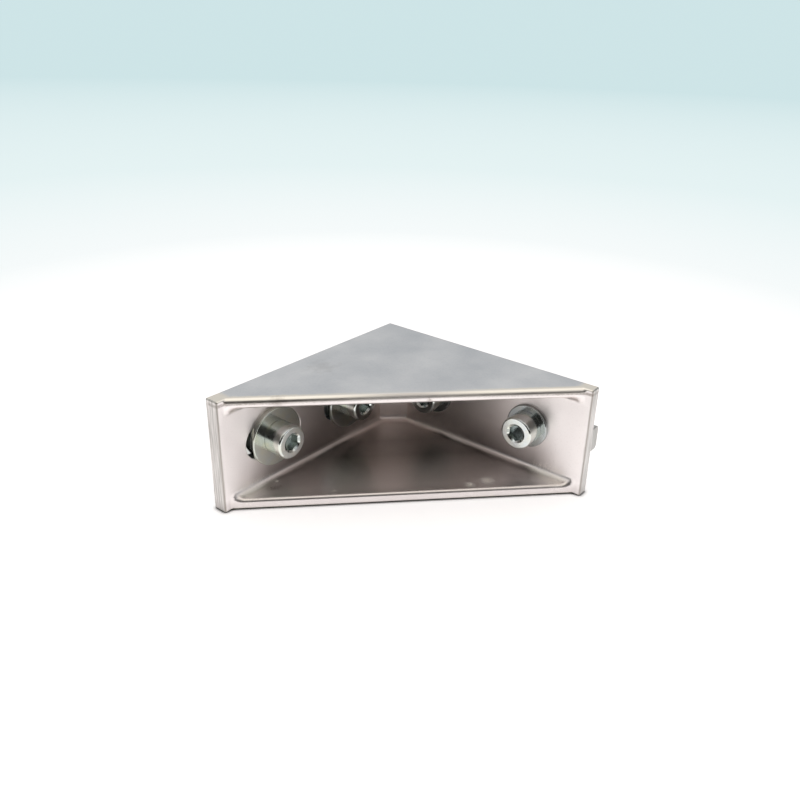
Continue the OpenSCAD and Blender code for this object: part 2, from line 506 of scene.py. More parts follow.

# Colours of the casting
# Painted light: the casting is paler at the mouth, where light falls
LIT_MOUTH_TONE = (0.88, 0.835, 0.825, 1)
CLOUDED_SKIN = (0.76, 0.72, 0.71, 1)
# Painted shade inside the room: legs and floor darker behind the mouth, lighter again deep inside
SHADED_LEG = (0.60, 0.55, 0.53, 1)
DEEP_LEG = (0.82, 0.75, 0.72, 1)
SHADED_FLOOR = (0.33, 0.305, 0.295, 1)
DEEP_FLOOR = (0.72, 0.675, 0.655, 1)
# Painted light: a pale roof underside that throws more light on the fillets
ROOF_BOUNCE_LIGHT = (0.90, 0.86, 0.84, 1)
# Painted light on the corner web, deep inside
WEB_PAINTED_LIGHT = (0.94, 0.85, 0.81, 1)
# Painted highlight along the middle of the fillets
BEAD_HIGHLIGHT = (0.82, 0.77, 0.74, 1)
LEG_SHADE = (0.28, 0.25, 0.24, 1)
# Painted shade on the rounds where the mouth turns into the room
LIP_SHADE = (0.66, 0.61, 0.59, 1)
# Painted shade on the lower front, close to the floor
FOOT_SHADE = (0.58, 0.53, 0.515, 1)
# Painted highlight on the outer rounds: dim in the middle of the front, cream towards the ends
ROUNDS_MIDDLE_SHADE = (0.56, 0.53, 0.52, 1)
ROUNDS_END_HIGHLIGHT = (0.84, 0.795, 0.73, 1)
# Dirt and a painted dark reflection along the upper front round
DIRT_AND_DARK_REFLECTION = (0.26, 0.22, 0.195, 1)
GREY_TOP = (0.69, 0.69, 0.71, 1)
PALE_TOP = (0.84, 0.83, 0.84, 1)
WORN_EDGE = (0.84, 0.80, 0.745, 1)
GREY_MOUNTING = (0.56, 0.545, 0.535, 1)
PALE_MOUNTING = (0.66, 0.645, 0.635, 1)
PITS = (0.50, 0.46, 0.43, 1)
SLOT_LEG_STRIPES = (0.25, 0.245, 0.225, 1)
LUG_LEG_STRIPES = (0.27, 0.27, 0.255, 1)
# Painted shade: the walls of the slots and holes nearly black
HOLE_WALL_SHADE = (0.05, 0.047, 0.045, 1)
EDGE_LINE = (0.20, 0.17, 0.14, 1)
STAIN = (0.16, 0.12, 0.09, 1)
# Pale colour of the scuffs and of the painted highlights at the noses of the mouth
SCUFF_AND_HIGHLIGHT = (0.90, 0.865, 0.82, 1)

# How strongly the colours are laid on, at one bound and at the other where there are two
CLOUD_AMOUNT = (0, 0.15)
BEAD_HIGHLIGHT_AMOUNT = (0.9, 0.4)
SHADE_AMOUNT = 0.8
LIP_SHADE_AMOUNT = 0.35
FOOT_SHADE_AMOUNT = 0.55
DIRT_AND_REFLECTION_AMOUNT = (0.1, 0.8)
DIRT_AND_REFLECTION_GRAIN = (0.5, 1)
PATCH_GRAIN = 0.5
PIT_AMOUNT = 0.12
STRIPE_SHARE = (0.4, 0.82)
STRIPE_AMOUNT = 0.95
HOLE_SHADE_AMOUNT = 0.9
EDGE_LINE_WIDTH = 0.5
EDGE_LINE_AMOUNT = 0.55

# Roughness of the casting, with the distances over which it changes
LEG_ROUGH = (0.4, 0.3)
LEG_ROUGH_INWARD = (3, 22)
PLATE_ROUGH = 0.3
FILLET_ROUGH = (0.285, 0.31)
FILLET_ROUGH_INWARD = (12, 35)
ROOF_ROUGH = 0.7
ROUNDS_ROUGH = (0.5, 0.285)
ROUNDS_ROUGH_OFF_MIDDLE = (5, 40)
TOP_ROUGH = 0.38
MOUNTING_ROUGH = 0.45
WORN_ROUGH = 0.62
WEB_ROUGH = 0.55
NOSE_HIGHLIGHT_ROUGH = 0.42
SCUFF_ROUGH = 0.9
CLOUD_ROUGH = (0, 0.06)

# Relief of the casting, its depth in metres
GRAIN_HEIGHT = 0.2
STRIPE_HEIGHT = 0.25
RELIEF_STRENGTH = (0.4, 0.03)
RELIEF_DEPTH = 0.0001

# Dark lines down the inner edges of the leg ends
LEG_END_LINES = [(99.85, 5.85), (4.85, 99.85)]

# Marks on the casting: where, how wide and how strong
WIDE_STAIN = 2.0
STAINS = [
    ((84.0, 18.5, 43.2), 2.4, 0.4),
    ((96.6, 6.2, 43.8), 0.6, 0.8),
    ((45.8, 56.4, 42.5), 1.0, 0.5),
    ((81.4, 10.7, 4.0), 2.4, 0.45),
    ((54.5, 11.4, 45.0), 6.0, 0.14),
]
# Painted highlights on the fillets and floor at the noses of the mouth
NOSE_HIGHLIGHTS = [
    ((89.7, 8.0, 4.6), 4.0, 1.0),
    ((84.1, 8.7, 4.4), 4.0, 0.9),
    ((78.5, 8.7, 4.4), 3.0, 0.7),
    ((7.0, 90.0, 4.6), 4.0, 1.0),
    ((7.0, 84.5, 4.6), 4.0, 0.9),
    ((7.0, 79.5, 4.6), 3.0, 0.7),
]
DULL_SCUFFS = [
    ((24.2, 69.9, 4.0), 3.2, 1.0),
    ((30.9, 66.5, 4.0), 2.0, 1.0),
    ((77.4, 8.8, 4.0), 1.0, 0.9),
    ((67.7, 29.9, 4.0), 0.9, 0.6),
]


def casting_patterns(tree, point):
    """The patterns that break up the casting's surface."""
    return SimpleNamespace(
        cloud=noise(tree, point, CLOUD), mottle=noise(tree, point, MOTTLE), grain=noise(tree, point, GRAIN),
        streaks=noise(tree, point, STREAKS, STREAKS_UPRIGHT))


def hole_walls(tree, depth, thickness, from_middle, reach, along, from_to):
    """The walls of a leg's slots or holes, which get painted shade."""
    wall = (HOLE_WALL_INSET, thickness - HOLE_WALL_INSET)
    return all_of(tree, span(tree, depth, wall, HOLE_WALL_SOFT), ramp(tree, from_middle, reach, FALLING),
                  span(tree, along, from_to, HOLES_SOFT))


def casting_places(tree, point, normal):
    """Where a point of the casting lies: distances in millimetres, and each place as a share."""
    x, y, z = parts_of(tree, point)
    tilt = maths(tree, "ABSOLUTE", parts_of(tree, normal)[2])
    from_middle = maths(tree, "ABSOLUTE", maths(tree, "SUBTRACT", z, MID_WIDTH))
    inward = maths(tree, "SUBTRACT", FRONT_AT, distance_along(tree, point, FRONT_NORMAL))
    off_middle = maths(tree, "ABSOLUTE", distance_along(tree, point, FRONT_RUN))
    smooth = ramp(tree, tilt, SMOOTH_TILT)
    outer = ramp(tree, from_middle, OUTER_SKIN)
    inner = rest_of(tree, outer)
    fillet = all_of(tree, span(tree, tilt, FILLET_TILT, FILLET_SOFT), inner)
    plate = all_of(tree, ramp(tree, tilt, PLATE_TILT), inner)
    in_slot = hole_walls(tree, y, SLOT_LEG_THICKNESS, from_middle, SLOT_REACH, x, SLOTS_FROM_TO)
    in_hole = hole_walls(tree, x, LUG_LEG_THICKNESS, from_middle, HOLE_REACH, y, HOLES_FROM_TO)
    return SimpleNamespace(
        x=x, y=y, inward=inward, off_middle=off_middle, smooth=smooth, outer=outer, fillet=fillet, plate=plate,
        outer_rounds=all_of(tree, outer, smooth),
        top=all_of(tree, ramp(tree, tilt, TOP_TILT), outer),
        bead_highlight=all_of(tree, span(tree, tilt, BEAD_TILT, BEAD_SOFT), inner),
        roof=all_of(tree, plate, ramp(tree, z, ROOF_HEIGHT)),
        web=ramp(tree, maths(tree, "ADD", x, y), WEB_EDGE, FALLING),
        lip=all_of(tree, fillet, ramp(tree, inward, LIP_INWARD, FALLING)),
        foot_shade=all_of(tree, ramp(tree, z, FOOT_HEIGHT, FALLING), ramp(tree, inward, FOOT_INWARD, FALLING)),
        dirt_and_reflection_line=all_of(tree, span(tree, z, DIRT_AND_REFLECTION_HEIGHT, DIRT_AND_REFLECTION_SOFT), ramp(tree, inward, DIRT_AND_REFLECTION_INWARD, FALLING)),
        leg_shade=all_of(tree, ramp(tree, z, SHADE_HEIGHT, FALLING), ramp(tree, inward, SHADE_STARTS),
                         ramp(tree, inward, SHADE_ENDS, FALLING), ramp(tree, tilt, LEG_TILT, FALLING)),
        mounting=ramp(tree, maths(tree, "MINIMUM", x, y), MOUNTING_DEPTH, FALLING),
        slot_leg_end=ramp(tree, x, LEG_END),
        lug_leg_end=ramp(tree, y, LEG_END),
        holes=maths(tree, "MAXIMUM", in_slot, in_hole))


def worn_edges(tree, on, pattern):
    """Where handling has worn the outer skin: the tips of the legs and a strip along the front."""
    past_slot_leg = maths(tree, "ADD", on.x, maths(tree, "MULTIPLY", on.y, TIP_SLANT))
    past_lug_leg = maths(tree, "ADD", on.y, maths(tree, "MULTIPLY", on.x, TIP_SLANT))
    slant = maths(tree, "MAXIMUM", past_slot_leg, past_lug_leg)
    slant = maths(tree, "ADD", slant, ramp(tree, pattern.mottle, WIDE_BOUNDS, TIP_WANDER))
    tip = all_of(tree, ramp(tree, maths(tree, "MAXIMUM", on.x, on.y), TIP_NEAREST), ramp(tree, slant, TIP_EDGE))
    wander = maths(tree, "ADD", on.inward, ramp(tree, pattern.mottle, WIDE_BOUNDS, STRIP_WANDER))
    strip = all_of(tree, ramp(tree, on.off_middle, STRIP_OFF_MIDDLE, STRIP_SHARE),
                   ramp(tree, wander, STRIP_INWARD, FALLING))
    return all_of(tree, on.outer, maths(tree, "MAXIMUM", tip, strip))


def highlight_and_scuff_marks(tree, point, pattern):
    """The painted highlights at the noses of the mouth and the scuffed places, each with its roughness."""
    marks = []
    for places, roughness in ((NOSE_HIGHLIGHTS, NOSE_HIGHLIGHT_ROUGH), (DULL_SCUFFS, SCUFF_ROUGH)):
        for place, radius, amount in places:
            share = maths(tree, "MULTIPLY", spot(tree, point, place, radius, pattern.grain), amount)
            marks.append((share, roughness))
    return marks


def casting_colour(tree, point, on, pattern, worn, marks):
    """Colour of the casting: pale at the mouth and darker inside as painted light and shade, with painted
    highlights and shade, wear, dirt and marks laid over it.
    """
    # Painted light and shade by depth: shade on the legs and floor inside, light on the roof, the web and the
    # mouth
    leg = mix_colour(tree, ramp(tree, on.inward, DEEP_LEG_INWARD), SHADED_LEG, DEEP_LEG)
    plate = mix_colour(tree, ramp(tree, on.inward, DEEP_FLOOR_INWARD), SHADED_FLOOR, DEEP_FLOOR)
    plate = mix_colour(tree, on.roof, plate, ROOF_BOUNCE_LIGHT)
    inside = mix_colour(tree, on.plate, leg, plate)
    inside = mix_colour(tree, on.web, inside, WEB_PAINTED_LIGHT)
    tone = mix_colour(tree, ramp(tree, on.inward, MOUTH_LIGHT_INWARD), LIT_MOUTH_TONE, inside)
    tone = mix_colour(tree, ramp(tree, pattern.cloud, CLEAR_BOUNDS, CLOUD_AMOUNT), tone, CLOUDED_SKIN)
    # Painted highlight along the fillets, stronger near the mouth
    tone = wash(tree, tone, on.bead_highlight, ramp(tree, on.inward, BEAD_INWARD, BEAD_HIGHLIGHT_AMOUNT), BEAD_HIGHLIGHT)
    tone = wash(tree, tone, on.leg_shade, SHADE_AMOUNT, LEG_SHADE)
    # Painted shade on the rounds at the mouth
    tone = wash(tree, tone, on.lip, LIP_SHADE_AMOUNT, LIP_SHADE)
    # Painted highlight on the outer rounds, dim in the middle and cream towards the ends
    rounds = mix_colour(tree, ramp(tree, on.off_middle, ROUNDS_OFF_MIDDLE), ROUNDS_MIDDLE_SHADE, ROUNDS_END_HIGHLIGHT)
    tone = mix_colour(tree, on.outer_rounds, tone, rounds)
    # Painted shade on the lower front, near the floor
    tone = wash(tree, tone, on.foot_shade, FOOT_SHADE_AMOUNT, FOOT_SHADE)
    # A dark line along the upper front round: partly dirt, partly a painted reflection of the dim front
    dirt = all_of(tree, ramp(tree, on.off_middle, DIRT_AND_REFLECTION_OFF_MIDDLE, DIRT_AND_REFLECTION_AMOUNT),
                  ramp(tree, pattern.grain, CLEAR_BOUNDS, DIRT_AND_REFLECTION_GRAIN))
    tone = wash(tree, tone, on.dirt_and_reflection_line, dirt, DIRT_AND_DARK_REFLECTION)
    patches = maths(tree, "ADD", pattern.cloud, maths(tree, "MULTIPLY", pattern.grain, PATCH_GRAIN))
    top = mix_colour(tree, ramp(tree, patches, PATCH_BOUNDS), GREY_TOP, PALE_TOP)
    tone = mix_colour(tree, on.top, tone, top)
    tone = mix_colour(tree, all_of(tree, worn, on.smooth), tone, WORN_EDGE)
    mounting = mix_colour(tree, ramp(tree, pattern.cloud, CLEAR_BOUNDS), GREY_MOUNTING, PALE_MOUNTING)
    tone = mix_colour(tree, on.mounting, tone, mounting)
    tone = wash(tree, tone, ramp(tree, pattern.grain, PIT_BOUNDS), PIT_AMOUNT, PITS)
    stripes = ramp(tree, pattern.streaks, STRIPE_BOUNDS, STRIPE_SHARE)
    tone = wash(tree, tone, all_of(tree, on.slot_leg_end, stripes), STRIPE_AMOUNT, SLOT_LEG_STRIPES)
    tone = wash(tree, tone, all_of(tree, on.lug_leg_end, stripes), STRIPE_AMOUNT, LUG_LEG_STRIPES)
    # Painted shade in the slots and holes
    tone = wash(tree, tone, on.holes, HOLE_SHADE_AMOUNT, HOLE_WALL_SHADE)
    flat_point = add(tree, "ShaderNodeCombineXYZ", {"X": on.x, "Y": on.y}).outputs["Vector"]
    for edge_x, edge_y in LEG_END_LINES:
        line = spot(tree, flat_point, (edge_x, edge_y, 0), EDGE_LINE_WIDTH, pattern.streaks)
        tone = wash(tree, tone, line, EDGE_LINE_AMOUNT, EDGE_LINE)
    for place, radius, amount in STAINS:
        ragged = pattern.grain if radius < WIDE_STAIN else pattern.mottle
        tone = wash(tree, tone, spot(tree, point, place, radius, ragged), amount, STAIN)
    # Painted highlights at the noses and pale scuffs on the floor
    for share, _ in marks:
        tone = mix_colour(tree, share, tone, SCUFF_AND_HIGHLIGHT)
    return tone


def casting_roughness(tree, on, pattern, worn, marks):
    """Roughness of the casting, place by place."""
    rough = mix_value(tree, on.smooth, ramp(tree, on.inward, LEG_ROUGH_INWARD, LEG_ROUGH), PLATE_ROUGH)
    rough = mix_value(tree, on.fillet, rough, ramp(tree, on.inward, FILLET_ROUGH_INWARD, FILLET_ROUGH))
    rough = mix_value(tree, on.roof, rough, ROOF_ROUGH)
    rounds = ramp(tree, on.off_middle, ROUNDS_ROUGH_OFF_MIDDLE, ROUNDS_ROUGH)
    rough = mix_value(tree, on.outer_rounds, rough, rounds)
    rough = mix_value(tree, on.top, rough, TOP_ROUGH)
    rough = mix_value(tree, on.mounting, rough, MOUNTING_ROUGH)
    rough = mix_value(tree, all_of(tree, worn, on.top), rough, WORN_ROUGH)
    rough = mix_value(tree, all_of(tree, on.web, rest_of(tree, on.smooth)), rough, WEB_ROUGH)
    for share, roughness in marks:
        rough = mix_value(tree, share, rough, roughness)
    return maths(tree, "ADD", rough, ramp(tree, pattern.cloud, WIDE_BOUNDS, CLOUD_ROUGH))


def casting_relief(tree, on, pattern):
    """Fine relief of the casting: mottled on the legs, drawn on their ends, nearly smooth elsewhere."""
    height = maths(tree, "ADD", maths(tree, "MULTIPLY", pattern.grain, GRAIN_HEIGHT), pattern.mottle)
    at_end = maths(tree, "MAXIMUM", on.slot_leg_end, on.lug_leg_end)
    height = maths(tree, "ADD", height, all_of(tree, pattern.streaks, at_end, STRIPE_HEIGHT))
    strength = ramp(tree, on.smooth, RISING, RELIEF_STRENGTH)
    bump = add(tree, "ShaderNodeBump", {"Height": height, "Strength": strength, "Distance": RELIEF_DEPTH})
    return bump.outputs["Normal"]


def cast_metal():
    """Tumbled die-cast aluminium with wear, dirt, scuffs and drawn leg ends, and with light and shade painted
    into its colour.
    """
    material, tree, shader, point, normal = new_material("cast_aluminium")
    on = casting_places(tree, point, normal)
    pattern = casting_patterns(tree, point)
    worn = worn_edges(tree, on, pattern)
    marks = highlight_and_scuff_marks(tree, point, pattern)
    tree.links.new(casting_colour(tree, point, on, pattern, worn, marks), shader.inputs["Base Color"])
    tree.links.new(casting_roughness(tree, on, pattern, worn, marks), shader.inputs["Roughness"])
    tree.links.new(casting_relief(tree, on, pattern), shader.inputs["Normal"])
    return material


# Zinc plate: colours of the plate and of its faint tint, roughness, and how recesses darken, with painted shade
# in the socket and dirt in the thread
SCREW_ZINC = ((0.64, 0.68, 0.68, 1), (0.66, 0.68, 0.62, 1), 0.15)
WIDE_WASHER_ZINC = ((0.50, 0.54, 0.52, 1), (0.54, 0.55, 0.47, 1), 0.17)
# Painted shade: the plain washers on the lugged leg get darker zinc than the wide ones
SHADED_PLAIN_WASHER_ZINC = ((0.36, 0.39, 0.40, 1), (0.40, 0.42, 0.41, 1), 0.15)
# Painted shade: the nuts get darker zinc, so the slots look dark behind the washers
SHADED_NUT_ZINC = ((0.42, 0.44, 0.44, 1), (0.46, 0.47, 0.43, 1), 0.33)
SMOOTHER = 0.03
ROUGHER = 0.05
RECESS_SHADE_AND_DIRT = (0.08, 0.12, 0.13, 1)
RECESS_AMOUNT = 0.4
ZINC_RELIEF = 0.1
ZINC_RELIEF_DEPTH = 0.00004


def zinc(name, finish):
    """Bright zinc plate with a faint tint that drifts over it, painted shade in the socket and dirt in the
    thread's groove.
    """
    colour, tint, roughness = finish
    material, tree, shader, point, _ = new_material(name)
    drift = noise(tree, point, ZINC_DRIFT)
    fine = noise(tree, point, ZINC_GRAIN)
    tone = mix_colour(tree, ramp(tree, drift, CLEAR_BOUNDS), colour, tint)
    recess_shade_and_dirt = add(tree, "ShaderNodeAttribute", attribute_name="recess_shade_and_dirt").outputs["Fac"]
    # Painted shade in the socket, dirt in the thread's groove
    tone = wash(tree, tone, recess_shade_and_dirt, RECESS_AMOUNT, RECESS_SHADE_AND_DIRT)
    tree.links.new(tone, shader.inputs["Base Color"])
    rough = ramp(tree, fine, WIDE_BOUNDS, (roughness - SMOOTHER, roughness + ROUGHER))
    tree.links.new(rough, shader.inputs["Roughness"])
    bump = add(tree, "ShaderNodeBump", {"Height": fine, "Strength": ZINC_RELIEF, "Distance": ZINC_RELIEF_DEPTH})
    tree.links.new(bump.outputs["Normal"], shader.inputs["Normal"])
    return material


# The casting's outer shape, with a round on every edge

OUTLINE = [(0, 0), (LEG_LENGTH, 0), (LEG_LENGTH, SLOT_LEG_THICKNESS), tuple(SLOT_LEG_FRONT.xy),
           tuple(LUG_LEG_FRONT.xy), (LUG_LEG_THICKNESS, LEG_LENGTH), (0, LEG_LENGTH)]
CORNER_SHARES = [OUTER_CORNER_SHARE, PLAIN_EDGE_SHARE, LEG_END_SHARE, FRONT_CORNER_SHARE,
                 FRONT_CORNER_SHARE, LEG_END_SHARE, PLAIN_EDGE_SHARE]
STUBS = [(OUTLINE[2], OUTLINE[3]), (OUTLINE[4], OUTLINE[5])]


def at_corner(edge, corner):
    """True for an upright edge over a corner of the outline."""
    return is_upright(edge) and (middle(edge).xy - Vector(corner)).length < NEAR


def weigh_edges(piece, test, share):
    """Gives the edges for which the test holds their share of the widest round."""
    mesh = open_mesh(piece, "EDGE")
    pick_edges(piece, mesh, test)
    bpy.ops.transform.edge_bevelweight(value=share)
    close_mesh()


def on_front_line(edge):
    """True for an edge along the front of a side wall."""
    return abs(direction(edge).dot(FRONT_RUN)) > ALONG_FRONT


def on_stub(edge):
    """True for the short edge from a side wall's front to the inner side of a leg's end."""
    for stub in STUBS:
        half_way = (Vector(stub[0]) + Vector(stub[1])) / 2
        if (middle(edge).xy - half_way).length < NEAR:
            return True
    return False


def at_side(edge):
    """True for an edge around a side wall's outer face."""
    return min(abs(middle(edge).z), abs(middle(edge).z - BRACKET_WIDTH)) < NEAR


def across_leg_end(edge):
    """True for an edge across the free end of a leg."""
    return any(all(vertex.co[axis] > LEG_LENGTH - NEAR for vertex in edge.verts) for axis in (0, 1))


def side_share(edge):
    """Share of the widest round for an edge around a side wall's outer face."""
    if on_front_line(edge):
        return UPPER_FRONT_SHARE if middle(edge).z > MID_WIDTH else LOWER_FRONT_SHARE
    if across_leg_end(edge) or on_stub(edge):
        return LEG_END_SHARE
    return PLAIN_EDGE_SHARE


body = prism("bracket_casting", OUTLINE, 0, BRACKET_WIDTH)
for share in (UPPER_FRONT_SHARE, LOWER_FRONT_SHARE, LEG_END_SHARE, PLAIN_EDGE_SHARE):
    weigh_edges(body, lambda edge: at_side(edge) and side_share(edge) == share, share)
for corner, share in zip(OUTLINE, CORNER_SHARES):
    weigh_edges(body, lambda edge: at_corner(edge, corner), share)
rounds = body.modifiers.new("outer rounds", "BEVEL")
rounds.limit_method = "WEIGHT"
rounds.width = WIDEST_ROUND
rounds.segments = OUTER_STEPS
rounds.use_clamp_overlap = False
take_in_hand(body)
bpy.ops.object.modifier_apply(modifier=rounds.name)

# Room between the side walls, with its fillets, cut out of the casting
ROOM_OUTLINE = [(CORNER_WEB - SLOT_LEG_THICKNESS, SLOT_LEG_THICKNESS), (FAR, SLOT_LEG_THICKNESS), (FAR, FAR),
                (LUG_LEG_THICKNESS, FAR), (LUG_LEG_THICKNESS, CORNER_WEB - LUG_LEG_THICKNESS)]
LIP_BEHIND = (-2.0, 0.1)
LIP_TILT = 0.05
LIP_TURN = math.radians(20)


def along_wall(edge):
    """True for the long edges of the room beside the legs and the corner web."""
    place = middle(edge)
    return is_level(edge) and max(place.x, place.y) < FAR - BEYOND


def on_lip(edge):
    """True for the edges round the mouth, where a side wall's front face turns into the room."""
    place = middle(edge)
    depth = min(place.z, BRACKET_WIDTH - place.z)
    behind = FRONT_AT - place.dot(FRONT_NORMAL)
    if not SIDE_WALL - NEAR < depth < SIDE_WALL + INNER_FILLET:
        return False
    if not LIP_BEHIND[0] < behind < LIP_BEHIND[1] or len(edge.link_faces) != 2:
        return False
    tilts = sorted(abs(face.normal.z) for face in edge.link_faces)
    return tilts[0] < LEVEL and tilts[1] > LIP_TILT and turn_at(edge) > LIP_TURN


def on_upper_lip(edge):
    """True for the lip of the upper side wall."""
    return on_lip(edge) and middle(edge).z > MID_WIDTH


def on_lower_lip(edge):
    """True for the lip of the lower side wall."""
    return on_lip(edge) and middle(edge).z < MID_WIDTH


room = prism("room", ROOM_OUTLINE, SIDE_WALL, BRACKET_WIDTH - SIDE_WALL)
round_edges(room, along_wall, INNER_FILLET, FILLET_STEPS)
combine(body, room, "DIFFERENCE")
round_edges(body, on_upper_lip, UPPER_LIP_ROUND, SOFT_STEPS)
round_edges(body, on_lower_lip, LOWER_LIP_ROUND, SOFT_STEPS)

# Slots, round holes and the lug
HOLE_TURN = math.radians(80)
LUG_END = LEG_LENGTH - NEAR
LUG_OUTLINE = [(-LUG_HEIGHT, LEG_LENGTH - LUG_LENGTH), (LUG_LEG_THICKNESS / 2, LEG_LENGTH - LUG_LENGTH),
               (LUG_LEG_THICKNESS / 2, LUG_END), (-LUG_HEIGHT, LUG_END)]


def on_hole_edge(edge):
    """True for the edges of the slots and holes on both faces of a leg."""
    if len(edge.link_faces) != 2:
        return False
    place = middle(edge)
    at_slot_leg = min(abs(place.y), abs(place.y - SLOT_LEG_THICKNESS)) < NEAR
    at_lug_leg = min(abs(place.x), abs(place.x - LUG_LEG_THICKNESS)) < NEAR
    inside = abs(place.z - MID_WIDTH) < SLOT_WIDTH / 2 + NEAR
    return (at_slot_leg or at_lug_leg) and inside and turn_at(edge) > HOLE_TURN


def on_lug_shoulder(edge):
    """True for the long outer edges of the lug."""
    return middle(edge).x < -LUG_HEIGHT + NEAR and abs(direction(edge).y) > ALIGNED


def on_lug_end(edge):
    """True for the edges round the lug's free end, outside the leg."""
    return middle(edge).x < 0 and all(vertex.co.y > LUG_END - NEAR for vertex in edge.verts)


for at in (OUTER_SCREW_AT, SLOT_INNER_SCREW_AT):
    slot_tool = block("slot_tool", SLOT_LENGTH, SLOT_WIDTH, -SLOT_LEG_THICKNESS - BEYOND, BEYOND)
    round_edges(slot_tool, is_upright, SLOT_WIDTH / 2 - MERGE, SLOT_END_STEPS)
    move_piece(slot_tool, on_slot_leg(at, 0))
    combine(body, slot_tool, "DIFFERENCE")
for at in (OUTER_SCREW_AT, LUG_INNER_SCREW_AT):
    hole_tool = turned_bar("hole_tool", ROUND_HOLE_D / 2, -LUG_LEG_THICKNESS - BEYOND, BEYOND)
    move_piece(hole_tool, on_lug_leg(at, 0))
    combine(body, hole_tool, "DIFFERENCE")
round_edges(body, on_hole_edge, HOLE_EDGE_ROUND, SMALL_STEPS)
lug = prism("lug", LUG_OUTLINE, MID_WIDTH - LUG_WIDTH / 2, MID_WIDTH + LUG_WIDTH / 2)
round_edges(lug, on_lug_shoulder, LUG_ROUND, OUTER_STEPS)
round_edges(lug, on_lug_end, LUG_END_ROUND, SMALL_STEPS)
combine(body, lug, "UNION")

# Screw, washers and nut, each modelled once

THREAD_ROOT = SCREW_D / 2 - THREAD_DEPTH
THREAD_CREST = SCREW_D / 2 - THREAD_CLEARANCE
SOCKET_REACH = SOCKET_FLATS * 0.62
SOCKET_FLOOR = HEAD_HEIGHT - SOCKET_DEPTH
RECESS_EDGE = 0.3
THREAD_RECESS = 0.5


def thread_bar(bottom, top):
    """A threaded bar along Z: one turn of the thread's profile, wound up and cut off square."""
    profile = [(THREAD_ROOT, 0), (THREAD_ROOT, 0.13), (THREAD_CREST, 0.48), (THREAD_CREST, 0.64),
               (THREAD_ROOT, 0.99), (THREAD_ROOT, 1.0)]
    deselect_everything()
    bpy.ops.mesh.primitive_circle_add(vertices=len(profile), radius=1, fill_type="NOTHING")
    bar = named("thread")
    mesh = open_mesh(bar, "EDGE")
    mesh.verts.ensure_lookup_table()
    for vertex, (radius, rise) in zip(mesh.verts, profile):
        vertex.co = (radius, 0, rise * THREAD_PITCH + bottom - SPARE_TURNS * THREAD_PITCH)
    ends = {mesh.verts[0], mesh.verts[len(profile) - 1]}
    pick_edges(bar, mesh, lambda edge: set(edge.verts) == ends)
    bpy.ops.mesh.delete(type="EDGE")
    close_mesh()
    wind = bar.modifiers.new("wind", "SCREW")
    wind.axis = "Z"
    wind.screw_offset = THREAD_PITCH
    wind.iterations = math.ceil((top - bottom) / THREAD_PITCH) + 2 * SPARE_TURNS
    wind.steps = THREAD_STEPS
    wind.render_steps = THREAD_STEPS
    take_in_hand(bar)
    bpy.ops.object.modifier_apply(modifier=wind.name)
    open_mesh(bar, "VERT")
    bpy.ops.mesh.select_all(action="SELECT")
    bpy.ops.mesh.remove_doubles(threshold=MERGE)
    for height, outward in ((bottom, -1), (top, 1)):
        bpy.ops.mesh.select_all(action="SELECT")
        bpy.ops.mesh.bisect(plane_co=(0, 0, height), plane_no=(0, 0, outward), use_fill=True,
                            clear_outer=True)
    bpy.ops.mesh.select_all(action="SELECT")
    bpy.ops.mesh.normals_make_consistent(inside=False)
    close_mesh()
    return bar


def mark_recesses(screw):
    """Notes where the dark goes: painted shade wholly in the socket, dirt at half strength in the thread's
    groove.
    """
    recess_shade_and_dirt = screw.data.attributes.new("recess_shade_and_dirt", "FLOAT", "FACE")
    for face in screw.data.polygons:
        reach = face.center.xy.length
        height = face.center.z
        in_socket = reach < SOCKET_REACH and SOCKET_FLOOR - BEYOND < height < HEAD_HEIGHT - RECESS_EDGE
        in_thread = reach < SCREW_D / 2 - RECESS_EDGE and height < 0
        recess_shade_and_dirt.data[face.index].value = 1.0 if in_socket else THREAD_RECESS if in_thread else 0.0


def socket_screw():
    """The screw: a rounded head with its hexagon socket, and the threaded shank with its chamfered tip."""
    screw = turned_bar("screw", HEAD_D / 2, 0, HEAD_HEIGHT, FINE_SIDES)

    def on_rim(edge, height):
        """True for the head's round edge at a height."""
        return middle(edge).xy.length > HEAD_D / 2 - ROUND_SLACK and abs(middle(edge).z - height) < NEAR

    round_edges(screw, lambda edge: on_rim(edge, HEAD_HEIGHT), HEAD_TOP_ROUND, SOFT_STEPS)
    round_edges(screw, lambda edge: on_rim(edge, 0), HEAD_FOOT_ROUND, SMALL_STEPS)
    hexagon = turned_bar("hexagon", SOCKET_FLATS / 2 / math.cos(math.radians(30)), SOCKET_FLOOR,
                         HEAD_HEIGHT + BEYOND, 6)
    combine(screw, hexagon, "DIFFERENCE")
    drill = turned_cone("drill", 0, SOCKET_FLATS / 2 - DRILL_INSET, SOCKET_FLOOR - DRILL_POINT,
                        SOCKET_FLOOR + NEAR)
    combine(screw, drill, "DIFFERENCE")
    sink = turned_cone("sink", SOCKET_FLATS / 2 - SINK_INSET, SOCKET_FLATS / 2 + SINK_SPREAD,
                       HEAD_HEIGHT - SINK_DEPTH, HEAD_HEIGHT + SINK_RISE)
    combine(screw, sink, "DIFFERENCE")
    shank = thread_bar(-SCREW_LENGTH, SHANK_IN_HEAD)
    tip = turned_bar("tip", SCREW_D / 2, -SCREW_LENGTH, 2 * SHANK_IN_HEAD)
    round_edges(tip, lambda edge: abs(middle(edge).z + SCREW_LENGTH) < NEAR, TIP_CHAMFER, CHAMFER_STEPS)
    combine(shank, tip, "INTERSECT")
    combine(screw, shank, "UNION")
    mark_recesses(screw)
    return screw


